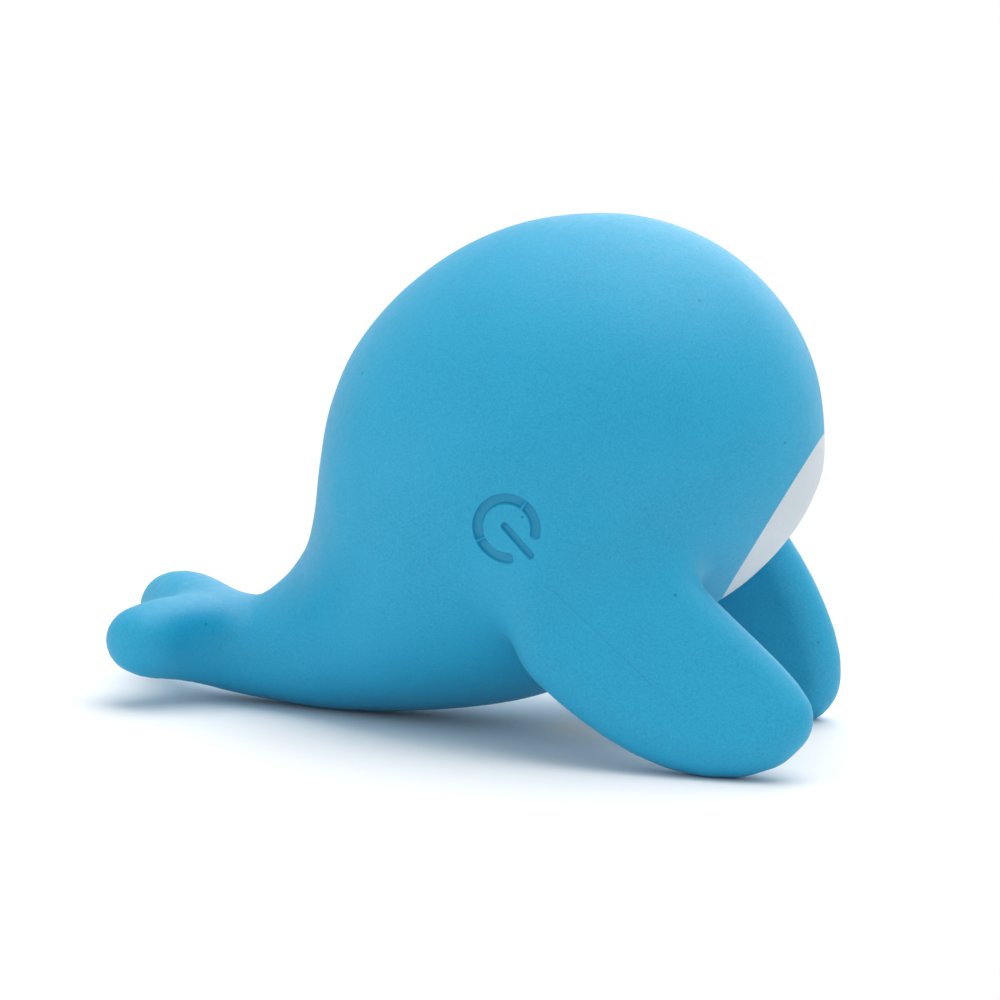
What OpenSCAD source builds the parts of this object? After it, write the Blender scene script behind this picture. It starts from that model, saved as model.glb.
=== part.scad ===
// Battery bath toy in the shape of a whale: a thick silicone skin with a press-through button, a white
// chin, and a sealed plastic capsule inside that holds the switch, board, cell and sounder.
// Millimetres. +X is the way the whale faces, +Z is up, and the ground is z = 0 under the middle of it.

/* [Body] */
// Radius of the round forehead
head_r = 30; // [29.5:0.25:31]
// Centre of the head, forward of the middle of the toy
head_x = 15.5; // [15:0.25:16]
// Height of the head's centre above the ground
head_z = 40.4; // [40:0.1:41]
// How far the chin is drawn up from a true ball
chin_lift = 3.4; // [2:0.1:4]

/* [Flippers and tail] */
// Thickness of a flipper
flipper_t = 8.4; // [7:0.2:9.6]
// Lean of the flippers' tops towards the middle, in degrees
flipper_lean = 15; // [5:1:20]
// Turn of the flippers' tips towards the middle, in degrees
flipper_toe = 10; // [0:1:15]
// Height of a tail lobe as a share of its width
fluke_thin = 0.92; // [0.8:0.02:1]

/* [White chin] */
// Angle of the chin's flat seat below straight ahead, in degrees
chin_angle = 27; // [25:0.5:30]
// Distance of the seat from the head's centre
chin_seat = 25.3; // [24.5:0.1:26]
// Depth of the sound recess behind it
chin_recess = 0.8; // [0.4:0.1:1.2]

/* [Power button] */
// Diameter of the part of the skin that moves
button_d = 12; // [11:0.1:12.5]
// Travel of the button
button_travel = 0.8; // [0.5:0.05:0.9]
// Mean diameter of the moulded ring
symbol_d = 7.9; // [7:0.1:8.5]
// Width of the ring's groove
symbol_w = 1.25; // [0.9:0.05:1.5]
// Depth of the symbol's grooves
symbol_depth = 0.5; // [0.3:0.05:0.7]

/* [Capsule] */
// Outer radius of the inner capsule
capsule_r = 25.5; // [25:0.1:25.7]
// Wall of the capsule
capsule_wall = 2.4; // [2:0.1:2.8]
// Radius of the circuit board
board_r = 12; // [11.5:0.1:12.2]

/* [Hidden] */
$fn = 48;

skin_blue = "#3d9fd0";
chin_white = "#e6e9ec";
shell_white = "#d9dbd6";
board_green = "#1f6b45";
brass = "#caa24a";
steel = "#a9adb0";
black = "#26282a";
red = "#b3312c";
foam_grey = "#5a5d60";

// Room left between parts that only sit near each other, and clearance round a part that slides
gap = 0.3;
slide_clear = 0.06;
head = [head_x, 0, head_z];
capsule = [7.5, 0, 36.3];
capsule_in = capsule_r - capsule_wall;

// Each body section is [underside x, underside z, back x, back z, half width], from the tail forward
tail_and_back = [
    [-42, 9.2, -42, 9.2, 0], [-41, 6, -41, 12.6, 5], [-38, 3.6, -38, 13.4, 7.2], [-34, 1.5, -34, 13.4, 7.4],
    [-30, 0.6, -30.2, 14.3, 8.6], [-26.2, 0.3, -27, 16.9, 9.8], [-22.8, 0, -24.9, 19.7, 11.2],
    [-19.3, -0.15, -23.3, 23.2, 13], [-15.5, -0.05, -22.5, 28.6, 15.2], [-11, 0.3, -22.2, 35.5, 18.4],
    [-5.5, 1, -21.3, 42.6, 22.2], [1, 2.1, -18.4, 50.4, 25.6], [8, 3.9, -12.4, 58.4, 28.2],
    [head_x, 7, head_x - 19.5, head_z + 24.7, head_r - 0.3],
    [head_x + 8, 10.9, head_x - 9.5, head_z + 28.8, head_r]
];
// Forehead and chin close round a ball, with the chin drawn up; each pair is an angle below and one above
face_angles = [[60, 85], [45, 63], [30, 41.5], [15, 21.5], [0, 0]];
face = [for (p = face_angles) [
    head_x + head_r * cos(p[0]), head_z - head_r * sin(p[0]) + chin_lift * sin(2 * p[0]),
    head_x + head_r * cos(p[1]), head_z + head_r * sin(p[1]), head_r * sin((p[0] + p[1]) / 2)
]];
sections = concat(tail_and_back, face);
steps_between = 2;
ring_sides = 40;

// Each round of a flipper is [[x, y, z], radius, outward turn] and of a tail lobe [[x, y, z], radius];
// the left ones sit slightly further forward or up
right_flipper = [
    [[19.9, -24.8, 19.8], 12.5, 1.6], [[26.9, -25.2, 14.1], 11.7, 1.8],
    [[35.3, -25.4, 9.6], 9.9, 1.9], [[43.3, -24.6, 8], 5.3, 2]
];
left_flipper = [
    [[26, 24, 23.5], 12.2, -0.5], [[32.4, 24.5, 16.8], 11.8, -2.4],
    [[37.5, 25.3, 9.7], 10.6, -3.9], [[42.1, 25.1, 5.9], 6, -5.3]
];
right_fluke = [[[-35.8, -3.5, 8.6], 5.5], [[-39.8, -8.5, 8.6], 6.2], [[-43.3, -12.8, 8.9], 5.1]];
left_fluke = [[[-35.8, 3.5, 8.6], 5.5], [[-39.8, 8.5, 9.4], 6.2], [[-43.2, 12.8, 9.8], 5.3]];

// Size of the soft hollow where a flipper or a tail lobe leaves the body, and how far the body rises there
flipper_fillet = 4;
fluke_fillet = 3.5;
rise_limit = 3;
rise_steps = 5;
// The bend of a flipper's middle face goes on this far past its first and last round
bend_past = [14, 10];
// The tail's end rises away from this point
tail_heart = [-36.5, 0, 8.5];

// Shallow dent in the tail's side before each lobe: its deepest place on the left, the way it faces
// and its radius
dent_at = [-36.3, 11.2, 8.2];
dent_out = [0.78, 0.625, 0];
dent_r = 7.5;

// Radius of the recess behind the chin
chin_recess_r = 5;

// The button, the sounder and the charge port each look out from the capsule's centre
button_axis = [7, -29.25, 31.1] - capsule;
button_out = norm(button_axis);
sounder_axis = [cos(14), 0, -sin(14)];
port_axis = [sin(20), 0, -cos(20)];

// Button parts, as heights along the button's axis
pad_t = 1.8;
pad_dome_r = 38;
symbol_floor = button_out - 0.2 - symbol_depth;
symbol_turn = 50;
symbol_arcs = [[89, 53.5], [147, 144], [295.5, 70.5]];
symbol_bar = [-0.3, 5.4, 0.9];
plunger_head_t = 1.2;
plunger_head_r = 5.4;
plunger_r = 2.5;
guide_r = 4.5;
guide_end = 20.6;
board_t = 1.6;
board_top = 14.1;
switch_w = 6;
switch_h = 3.5;
stem_r = 1.75;
stem_in = 1.7;
stem_h = 1.5;
stem_travel = 0.3;
stem_top = board_top + switch_h + stem_h;
plunger_tip = stem_top + button_travel - stem_travel + 0.05;

// Screws
board_screw_places = [for (a = [90, 210, 330]) 9.5 * [cos(a), sin(a), 0]];
board_screw_r = 0.8;
pillar_r = 2;
post_places = [for (a = [30, 105, 180, 255]) 19.1 * [cos(a), 0, sin(a)]];
post_r = 3;
post_screw_r = 1;
post_screw_seat = 6;
post_screw_end = -7;
lip_r = capsule_in + capsule_wall / 2;
lip_h = 1.2;

// Cell and its tape, from the capsule's centre
cell_size = [24, 5, 16];
cell_at = [-2, 5.5, 0];
tape_t = 1;
rib_y = cell_at[1] + cell_size[1] / 2 + tape_t;

// Sounder and charge port, as heights along their axes
sounder_r = 10;
sounder_seat = 18;
sound_hole_r = 4.5;
port_face = 29.5;
port_r = 6.9;
port_neck_r = 5.5;
pin_y = 2.4;
pin_r = 1.1;
magnet_x = 3.6;
magnet_r = 1.5;

wire_r = 0.45;
wire_sides = 12;
wire_off = 0.3;

function unit(v) = v / norm(v);

// Smooth curve through the sections, u counted in sections; past an end they go on upside down
function catmull(p, q, r, s, t) =
    q + t * (r - p) / 2 + t * t * (2 * p - 5 * q + 4 * r - s) / 2
    + t * t * t * (3 * q - p - 3 * r + s) / 2;
function over(s) = [s[2], s[3], s[0], s[1], -s[4]];
function at(i) = let (last = len(sections) - 1)
    i < 0 ? over(sections[-i]) : i > last ? over(sections[2 * last - i]) : sections[i];
function along(u) = let (i = floor(u)) catmull(at(i - 1), at(i), at(i + 1), at(i + 2), u - i);

// Distance of a point from the hull of two rounds, and the soft join of two distances
function hull_gap(p, a, b) = let (
    l = norm(b[0] - a[0]), u = (b[0] - a[0]) / l, h = (p - a[0]) * u, q = norm(p - a[0] - h * u),
    shrink = (a[1] - b[1]) / l, s = max(0, min(l, h - q * shrink / sqrt(1 - shrink * shrink)))
) norm([h - s, q]) - a[1] - (b[1] - a[1]) * s / l;
function join(a, b, fillet) = min(a, b) - pow(max(fillet - abs(a - b), 0), 2) / (4 * fillet);

// Distance of a point from a tail lobe
function squeezed(p) = [p[0], p[1], p[2] / fluke_thin];
function fluke_gap(p, rounds) = let (r = [for (b = rounds) [squeezed(b[0]), b[1]]])
    min([for (i = [0 : len(r) - 2]) hull_gap(squeezed(p), r[i], r[i + 1])]);

// Distance of a point from a flipper, from its place along and across it and off its bent middle face
function flipper_gap(p, rounds, side) = let (
    edge = flipper_t / 2,
    ahead = [cos(flipper_toe), -side * sin(flipper_toe), 0],
    face = -cos(flipper_lean) * [side * sin(flipper_toe), cos(flipper_toe), side * tan(flipper_lean)],
    wide = cross(face, ahead),
    flat = [for (b = rounds) [[(b[0] - rounds[0][0]) * ahead, (b[0] - rounds[0][0]) * wide], b[1] - edge]],
    off = [for (b = rounds) (b[0] - rounds[0][0]) * face],
    d = p - rounds[0][0], n = len(rounds) - 1, x = [flat[n - 1][0][0], flat[n][0][0]],
    t = max(-bend_past[0], min(x[1] + bend_past[1], d * ahead)),
    bend = off[n - 1] * t * (t - x[1]) / (x[0] * (x[0] - x[1]))
        + off[n] * t * (t - x[0]) / (x[1] * (x[1] - x[0])),
    out = min([for (i = [0 : n - 1]) hull_gap([d * ahead, d * wide], flat[i], flat[i + 1])])
) norm([max(out, 0), d * face - bend]) - edge;

// Height of the skin over a point of the plain body, where it rises to a flipper or a tail lobe
function joined(a, p) = p[0] < 0
    ? join(join(a, fluke_gap(p, right_fluke), fluke_fillet), fluke_gap(p, left_fluke), fluke_fillet)
    : p[1] < 0 ? join(a, flipper_gap(p, right_flipper, -1), flipper_fillet)
    : join(a, flipper_gap(p, left_flipper, 1), flipper_fillet);
function rise(p, out, a = 0, i = 0) = i == rise_steps ? a
    : rise(p, out, min(a - joined(a, p + a * out), rise_limit), i + 1);
function risen(p, out) = p + rise(p, out) * out;

// One ellipse of the body, from the underside to the back
function ring(s) = let (mid = [s[0] + s[2], s[1] + s[3]] / 2, half = [s[2] - s[0], s[3] - s[1]] / 2)
    [for (k = [0 : ring_sides - 1]) let (
        a = 360 * k / ring_sides, off = [half[0] * sin(a), s[4] * cos(a), half[1] * sin(a)]
    ) risen([mid[0], 0, mid[1]] + off, mid[0] < tail_heart[0] ? unit([mid[0], 0, mid[1]] + off - tail_heart)
        : unit(off))];

// Closed body through all sections, with a point at each end
module body() {
    last = len(sections) - 1;
    rings = [for (k = [1 : last * steps_between - 1]) ring(along(k / steps_between))];
    n = ring_sides;
    count = len(rings);
    tail_point = risen([sections[0][0], 0, sections[0][1]], [-1, 0, 0]);
    nose_point = [sections[last][0], 0, sections[last][1]];
    points = concat([tail_point], [for (r = rings) each r], [nose_point]);
    nose = len(points) - 1;
    sides = [for (i = [0 : count - 2], k = [0 : n - 1]) let (
        a = 1 + i * n + k, b = 1 + i * n + (k + 1) % n
    ) each [[a, b + n, b], [a, a + n, b + n]]];
    tail_cap = [for (k = [0 : n - 1]) [0, 1 + k, 1 + (k + 1) % n]];
    nose_cap = [for (k = [0 : n - 1]) [nose, nose - n + (k + 1) % n, nose - n + k]];
    polyhedron(points, concat(sides, tail_cap, nose_cap));
}

// Round of a flipper, flat on both faces with a full edge; side is 1 on the left and -1 on the right
module flipper_round(b, side) {
    edge = flipper_t / 2;
    translate(b[0]) rotate([90 + side * flipper_lean, 0, side * (b[2] - flipper_toe)])
        rotate_extrude($fn = 28)
        intersection() {
            translate([b[1] - edge, 0]) circle(edge, $fn = 14);
            translate([0, -edge]) square([b[1], flipper_t]);
        }
}

module fluke_round(b) {
    translate(b[0]) scale([1, 1, fluke_thin]) sphere(b[1], $fn = 24);
}

// Paddle and tail lobe, in stages from round to round
module flipper(rounds, side) {
    for (i = [0 : len(rounds) - 2]) hull() {
        flipper_round(rounds[i], side);
        flipper_round(rounds[i + 1], side);
    }
}

module fluke(rounds) {
    for (i = [0 : len(rounds) - 2]) hull() {
        fluke_round(rounds[i]);
        fluke_round(rounds[i + 1]);
    }
}

module tail_dents() {
    place = dent_at + dent_r * dent_out;
    for (side = [-1, 1]) translate([place[0], side * place[1], place[2]]) sphere(dent_r);
}

// Everything in front of the chin's flat seat
module chin_space() {
    translate(head) rotate([0, chin_angle, 0]) translate([chin_seat, -40, -40]) cube([40, 80, 80]);
}

module below_ground() {
    translate([-60, -60, -20]) cube([120, 120, 20]);
}

// Turn that brings local +Z onto an axis, and the place of a local point on an axis through the capsule
function turn(axis) = [0, acos(axis[2] / norm(axis)), atan2(axis[1], axis[0])];
function spot(axis, p) = let (t = turn(axis)[1], a = turn(axis)[2])
    capsule + p[0] * [cos(t) * cos(a), cos(t) * sin(a), -sin(t)] + p[1] * [-sin(a), cos(a), 0]
    + p[2] * axis / norm(axis);

module looking(axis) {
    translate(capsule) rotate(turn(axis)) children();
}

// Round bar between two heights on the local axis
module bar(from, to, r) {
    translate([0, 0, from]) rotate(30) cylinder(r = r, h = to - from);
}

// Round lead along a line of points, as one tube
module wire(points) {
    n = wire_sides;
    last = len(points) - 1;
    rings = [for (i = [0 : last]) let (
        before = unit(points[max(i, 1)] - points[max(i, 1) - 1]),
        after = unit(points[min(i + 1, last)] - points[min(i, last - 1)]),
        t = unit(before + after), u = unit(cross(t, [1, 0.3, 0.2])), v = cross(t, u)
    ) each [for (k = [0 : n - 1]) points[i] + wire_r * (u * cos(360 * k / n) + v * sin(360 * k / n))]];
    sides = [for (i = [0 : last - 1], k = [0 : n - 1]) let (a = i * n + k, b = i * n + (k + 1) % n)
        each [[a, b + n, b], [a, a + n, b + n]]];
    ends = [[for (k = [0 : n - 1]) k], [for (k = [n - 1 : -1 : 0]) last * n + k]];
    polyhedron(rings, concat(sides, ends));
}

module silicone_skin() {
    color(skin_blue) difference() {
        union() {
            difference() {
                body();
                chin_space();
            }
            flipper(right_flipper, -1);
            flipper(left_flipper, 1);
            fluke(right_fluke);
            fluke(left_fluke);
        }
        tail_dents();
        below_ground();
        translate(capsule) sphere(capsule_r + gap);
        looking(button_axis) bar(capsule_in, button_out + 9, button_d / 2 + gap);
        looking(port_axis) bar(capsule_in, port_face + 9, port_r + gap);
        looking(sounder_axis) bar(capsule_in, capsule_r + 9, sound_hole_r);
    }
}

// White lens on the flat seat, thinned behind its middle so that sound gets through
module white_chin() {
    color(chin_white) difference() {
        intersection() {
            body();
            chin_space();
        }
        translate(head) rotate([0, 90 + chin_angle, 0])
            bar(chin_seat - 1, chin_seat + chin_recess, chin_recess_r);
    }
}

// Grooves of the on and off symbol: a ring in three lengths and a stroke
module symbol() {
    for (arc = symbol_arcs) rotate(arc[0]) rotate_extrude(angle = arc[1])
        translate([symbol_d / 2 - symbol_w / 2, symbol_floor]) square([symbol_w, pad_t]);
    rotate(symbol_turn) {
        translate([symbol_bar[0], -symbol_bar[2] / 2, symbol_floor])
            cube([symbol_bar[1] - symbol_bar[0], symbol_bar[2], pad_t]);
        for (x = [symbol_bar[0], symbol_bar[1]])
            translate([x, 0, 0]) bar(symbol_floor, symbol_floor + pad_t, symbol_bar[2] / 2);
    }
}

module power_button() {
    color(skin_blue) looking(button_axis) difference() {
        intersection() {
            bar(button_out - pad_t, button_out + 1, button_d / 2);
            translate([0, 0, button_out - pad_dome_r]) sphere(pad_dome_r, $fn = 96);
        }
        symbol();
    }
}

module button_plunger() {
    color(shell_white) looking(button_axis) {
        bar(plunger_tip, button_out - pad_t - 0.5, plunger_r);
        bar(button_out - pad_t - plunger_head_t, button_out - pad_t, plunger_head_r);
    }
}

module switch_stem() {
    color(black) looking(button_axis) bar(stem_top - stem_h - stem_in, stem_top, stem_r);
}

module switch_body() {
    color(steel) looking(button_axis) difference() {
        translate([-switch_w / 2, -switch_w / 2, board_top]) cube([switch_w, switch_w, switch_h]);
        bar(stem_top - stem_h - stem_in - 2 * stem_travel, stem_top, stem_r + slide_clear);
    }
}

module switch_legs() {
    leg = [1.3, 0.7, 0.25];
    color(steel) looking(button_axis) for (x = [-1, 1], y = [-2.2, 2.2])
        translate([x * (switch_w + leg[0]) / 2 - leg[0] / 2, y - leg[1] / 2, board_top]) cube(leg);
}

module circuit_board() {
    color(board_green) looking(button_axis) difference() {
        bar(board_top - board_t, board_top, board_r);
        for (p = board_screw_places) translate(p) bar(0, board_top + 1, board_screw_r + 0.15);
    }
}

module board_screws() {
    under = board_top - board_t;
    color(steel) looking(button_axis) for (p = board_screw_places) translate(p) {
        bar(under - 1.1, under, 1.7);
        bar(under - 0.5, under + 5, board_screw_r);
    }
}

module sound_chip() {
    color(black) looking(button_axis) translate([-2.5, -7, board_top - board_t - 0.9]) cube([5, 5, 0.9]);
}

// Small coil, two capacitors and two resistors under the board, each [x, y, width, length, height]
module board_components() {
    chips = [[3.5, -2.5, 3, 3, 1.6], [3.8, 2.2, 1.2, 2, 1], [-5.2, 3, 1.2, 2, 1], [-5, 6.2, 0.8, 1.6, 0.5],
        [3.6, 7.2, 0.8, 1.6, 0.5]];
    color(black) looking(button_axis) for (c = chips)
        translate([c[0], c[1], board_top - board_t - c[4]]) cube([c[2], c[3], c[4]]);
}

module status_led() {
    color(chin_white) looking(button_axis) translate([-0.6, 4.6, board_top]) cube([1.25, 2, 0.8]);
}

module battery_cell() {
    corner = 1.5;
    color(steel) translate(capsule + cell_at) rotate([90, 0, 0])
        linear_extrude(cell_size[1], center = true) offset(corner)
        square([cell_size[0] - 2 * corner, cell_size[2] - 2 * corner], center = true);
}

module battery_tape() {
    tape = [cell_size[0] - 4, tape_t, cell_size[2] - 4];
    color(foam_grey) translate(capsule + [cell_at[0], rib_y - tape_t, cell_at[2]] - [tape[0], 0, tape[2]] / 2)
        cube(tape);
}

// Leads run from the top of the cell over to the board
module battery_lead(across) {
    start = capsule + cell_at + [across, 0, cell_size[2] / 2];
    wire([start, start + [0, 0, 3.5], start + [0, -9.5, 3.5],
        spot(button_axis, [-7.5, across + 1, board_top - board_t - wire_off])]);
}

module battery_lead_plus() {
    color(red) battery_lead(-2);
}

module battery_lead_minus() {
    color(black) battery_lead(1);
}

module sounder_plate() {
    color(brass) looking(sounder_axis) bar(sounder_seat - 1, sounder_seat - 0.7, sounder_r);
}

module sounder_ceramic() {
    color(chin_white) looking(sounder_axis) bar(sounder_seat - 1.3, sounder_seat - 1, 0.7 * sounder_r);
}

module sounder_gasket() {
    color(foam_grey) looking(sounder_axis) difference() {
        bar(sounder_seat - 0.7, sounder_seat, sounder_r);
        bar(sounder_seat - 1, sounder_seat + 1, sounder_r - 1.3);
    }
}

module sounder_leads() {
    end = board_top - board_t - wire_off;
    color(black) {
        wire([spot(sounder_axis, [0, -1.5, sounder_seat - 1.3 - wire_off]), capsule + [10, -7, -4.5],
            spot(button_axis, [2, 5.5, end])]);
        wire([spot(sounder_axis, [0, -8.5, sounder_seat - 1 - wire_off]), capsule + [10, -10, -1.5],
            spot(button_axis, [-2, 5.5, end])]);
    }
}

// Dome with its rim on the local ground, solid or with the capsule's wall
module dome(r) {
    rotate_extrude() intersection() {
        circle(r);
        square(r + 1);
    }
}

module dome_shell() {
    rotate_extrude() intersection() {
        difference() {
            circle(capsule_r);
            circle(capsule_in);
        }
        square(capsule_r + 1);
    }
}

// Step that holds the sounder by its edge
module sounder_step() {
    difference() {
        bar(sounder_seat - 2.2, capsule_r, sounder_r + 1.1);
        bar(sounder_seat - 3, sounder_seat, sounder_r + 0.25);
        bar(sounder_seat - 1, capsule_r, sounder_r - 1.4);
    }
}

// Local +Z looks to the whale's left (1) or right (-1)
module sideways(side) {
    rotate([-90 * side, 0, 0]) children();
}

// What both halves share: the shell, the screw posts and the step for the sounder
module capsule_half(side) {
    sideways(side) dome_shell();
    intersection() {
        sideways(side) dome(capsule_in + 0.4);
        union() {
            for (p = post_places) translate(p) sideways(side) bar(0, 20, post_r);
            rotate(turn(sounder_axis)) sounder_step();
        }
    }
}

module capsule_holes() {
    rotate(turn(port_axis)) bar(20, 40, port_neck_r + 0.05);
    rotate(turn(sounder_axis)) bar(20, 40, sound_hole_r);
}

module capsule_right() {
    color(shell_white) translate(capsule) difference() {
        union() {
            capsule_half(-1);
            sideways(1) difference() {
                bar(-0.5, lip_h, lip_r);
                bar(-1, lip_h + 1, capsule_in + 0.2);
            }
            intersection() {
                sideways(-1) dome(capsule_in + 0.4);
                rotate(turn(button_axis)) {
                    bar(guide_end, capsule_r, guide_r);
                    for (p = board_screw_places) translate(p) bar(board_top, capsule_r, pillar_r);
                }
            }
        }
        for (p = post_places) translate(p) sideways(-1) bar(-1, 1 - post_screw_end, post_screw_r + 0.05);
        rotate(turn(button_axis)) {
            bar(guide_end - 1, capsule_r + 1, plunger_r + slide_clear);
            for (p = board_screw_places) translate(p)
                bar(board_top - 1, board_top + 4, board_screw_r + 0.05);
        }
        capsule_holes();
    }
}

module capsule_left() {
    color(shell_white) translate(capsule) difference() {
        union() {
            capsule_half(1);
            intersection() {
                sideways(1) dome(capsule_in + 0.4);
                for (x = [-7, 7]) translate([cell_at[0] + x - 0.8, rib_y, -14]) cube([1.6, 20, 28]);
            }
        }
        sideways(1) difference() {
            bar(-1, lip_h + 0.1, lip_r + 0.1);
            bar(-2, lip_h + 1, capsule_in - 0.4);
        }
        for (p = post_places) translate(p) sideways(1) {
            bar(-1, post_screw_seat + 1, post_screw_r + 0.15);
            bar(post_screw_seat, 26, 2.2);
        }
        capsule_holes();
    }
}

module capsule_screws() {
    color(steel) translate(capsule) for (p = post_places) translate(p) sideways(1) {
        bar(post_screw_seat, post_screw_seat + 1.6, 1.9);
        bar(post_screw_end, post_screw_seat + 0.5, post_screw_r);
    }
}

module charge_port() {
    color(shell_white) looking(port_axis) difference() {
        union() {
            bar(capsule_r + 0.1, port_face, port_r);
            bar(capsule_in - 2, capsule_r + 0.5, port_neck_r);
            bar(capsule_in - 2.7, capsule_in - 1.2, port_neck_r + 0.6);
        }
        for (y = [-pin_y, pin_y]) translate([0, y, 0]) bar(0, 40, pin_r + 0.05);
        for (x = [-magnet_x, magnet_x]) translate([x, 0, 0]) bar(0, port_face - 1.6, magnet_r + 0.05);
    }
}

module charge_pins() {
    color(brass) looking(port_axis) for (y = [-pin_y, pin_y])
        translate([0, y, 0]) bar(capsule_in - 3.7, port_face + 0.2, pin_r);
}

module charge_magnets() {
    color(steel) looking(port_axis) for (x = [-magnet_x, magnet_x])
        translate([x, 0, 0]) bar(port_face - 3.6, port_face - 1.6, magnet_r);
}

module charge_leads() {
    pin_end = capsule_in - 3.7 - wire_r;
    end = board_top - board_t - wire_off;
    color(black) {
        wire([spot(port_axis, [0, -pin_y, pin_end]), capsule + [5, -6, -14.5],
            spot(button_axis, [8, 3, end])]);
        wire([spot(port_axis, [0, pin_y, pin_end]), capsule + [2.5, -3, -13.5],
            spot(button_axis, [8, -0.5, end])]);
    }
}

silicone_skin();
white_chin();
power_button();
button_plunger();
switch_stem();
switch_body();
switch_legs();
circuit_board();
board_screws();
sound_chip();
board_components();
status_led();
battery_cell();
battery_tape();
battery_lead_plus();
battery_lead_minus();
sounder_plate();
sounder_ceramic();
sounder_gasket();
sounder_leads();
capsule_right();
capsule_left();
capsule_screws();
charge_port();
charge_pins();
charge_magnets();
charge_leads();
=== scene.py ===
import math

import bpy
import numpy as np
from mathutils import Matrix, Vector


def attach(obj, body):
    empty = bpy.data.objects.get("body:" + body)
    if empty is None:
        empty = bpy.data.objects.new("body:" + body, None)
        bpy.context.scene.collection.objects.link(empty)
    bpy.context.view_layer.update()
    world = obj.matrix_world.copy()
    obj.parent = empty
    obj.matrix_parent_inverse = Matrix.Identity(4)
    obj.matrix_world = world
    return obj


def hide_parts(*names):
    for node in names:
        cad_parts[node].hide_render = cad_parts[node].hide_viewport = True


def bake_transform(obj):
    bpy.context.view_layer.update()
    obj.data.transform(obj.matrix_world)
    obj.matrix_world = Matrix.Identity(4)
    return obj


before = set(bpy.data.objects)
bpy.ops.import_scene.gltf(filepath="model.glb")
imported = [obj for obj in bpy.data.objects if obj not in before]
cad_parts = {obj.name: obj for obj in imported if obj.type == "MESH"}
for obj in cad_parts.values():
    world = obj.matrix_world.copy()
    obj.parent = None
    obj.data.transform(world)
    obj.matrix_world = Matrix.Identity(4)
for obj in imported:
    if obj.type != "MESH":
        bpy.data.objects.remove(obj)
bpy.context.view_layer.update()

# Shapes are worked out in millimetres and become metres when a mesh is made.
MM = 0.001

# Body, as in the part's source: the ball of the head, how far the chin is lifted from it, and the sections
# from the tail forward, each [underside x, underside z, back x, back z, half width]
HEAD = np.array([15.5, 0.0, 40.4])
HEAD_R = 30.0
CHIN_LIFT = 3.4
TAIL_AND_BACK = [
    [-42, 9.2, -42, 9.2, 0], [-41, 6, -41, 12.6, 5], [-38, 3.2, -38, 13.4, 7.2], [-34, 1.3, -34, 13.4, 7.4],
    [-30, 0.6, -30.2, 14.3, 8.6], [-26.2, 0.3, -27, 16.9, 9.8], [-22.8, 0, -24.9, 19.7, 11.2],
    [-19.3, -0.15, -23.3, 23.2, 13], [-15.5, -0.05, -22.5, 28.6, 15.2], [-11, 0.3, -22.2, 35.5, 18.4],
    [-5.5, 1, -21.3, 42.6, 22.2], [1, 2.1, -18.4, 50.4, 25.6], [8, 3.9, -12.4, 58.4, 28.2],
    [15.5, 7, -4, 65.1, 29.7], [23.5, 10.9, 6, 69.2, 30],
]
# Sections of the face, as angles in degrees below and above the middle of the head
FACE_ANGLES = [(60, 85), (45, 63), (30, 41.5), (15, 21.5), (0, 0)]
ROWS_PER_SECTION = 8
# How fast the body's field grows behind the tail's end, and the least slope that it is divided by
TAIL_END_RISE = 8.0
LEAST_SLOPE = 4.0
TINY = 1e-6

# Rounds of the flippers and tail lobes: ((x, y, z), radius)
RIGHT_FLIPPER = [((19.9, -24.8, 19.8), 12.5), ((26.9, -25.2, 14.1), 11.7), ((35.3, -25.4, 9.6), 9.9),
                 ((43.3, -24.6, 8), 5.3)]
LEFT_FLIPPER = [((26, 24, 23.5), 12.2), ((32.4, 24.5, 16.8), 11.8), ((37.5, 25.3, 9.7), 10.6),
                ((42.1, 25.1, 5.9), 6)]
RIGHT_FLUKE = [((-35.8, -3.5, 8.6), 5.5), ((-39.8, -8.5, 8.6), 6.2), ((-43.3, -12.8, 8.9), 5.1)]
LEFT_FLUKE = [((-35.8, 3.5, 8.6), 5.5), ((-39.8, 8.5, 9.4), 6.2), ((-43.2, 12.8, 9.8), 5.3)]
ROUNDS_BETWEEN = 3
# A flipper's thickness, the degrees that its face leans and turns by, the crown of its faces with the width
# that it rises over, and how far its bend goes on before the first round and past the last
FLIPPER_T = 8.4
FLIPPER_LEAN = 15
FLIPPER_TOE = 10
FLIPPER_CROWN = 0.3
CROWN_RISE = 7.0
BEND_PAST = (14.0, 10.0)
# A tail lobe is flattened to this share of its height, and its field is damped to stay a near-distance
FLUKE_THIN = 0.92
FLUKE_DAMP = 0.9
# Soft root of a flipper: tight at the belly, wider up the flank and widest there behind the middle
FLIPPER_FILLETS = (3.5, 5.2, 9.0)
FLIPPER_FILLET_Z = (10.0, 26.0)
FLIPPER_FILLET_X = (27.0, 15.0)
FLUKE_FILLET = 4.0
# Shallow dent in the tail's side before each lobe: its place, depth and reach
DENT = (-35.9, 12.3, 6.7)
DENT_DEPTH = 1.9
DENT_REACH = 3.4

# Chin: an inlay on a flat seat across the head, with a sound recess behind it; starts and ends are distances
# from the head's middle
CHIN_ANGLE = 27
CHIN_SEAT = 25.3
CHIN_CUT_R = 16.5
CHIN_CUT_END = CHIN_SEAT + 14
CHIN_RECESS_R = 5.0
CHIN_RECESS_START = CHIN_SEAT - 1
CHIN_RECESS_END = 26.1

# Cavity for the capsule and the holes from it through the skin; starts and ends are distances from its middle
CAPSULE = np.array([7.5, 0.0, 36.3])
CAVITY_R = 25.8
HOLE_START = 23.0
PORT_ANGLE = 20
PORT_HOLE_R = 7.2
PORT_HOLE_END = 40.0
SOUND_ANGLE = 14
SOUND_HOLE_R = 4.5
SOUND_HOLE_END = 36.0
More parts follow.
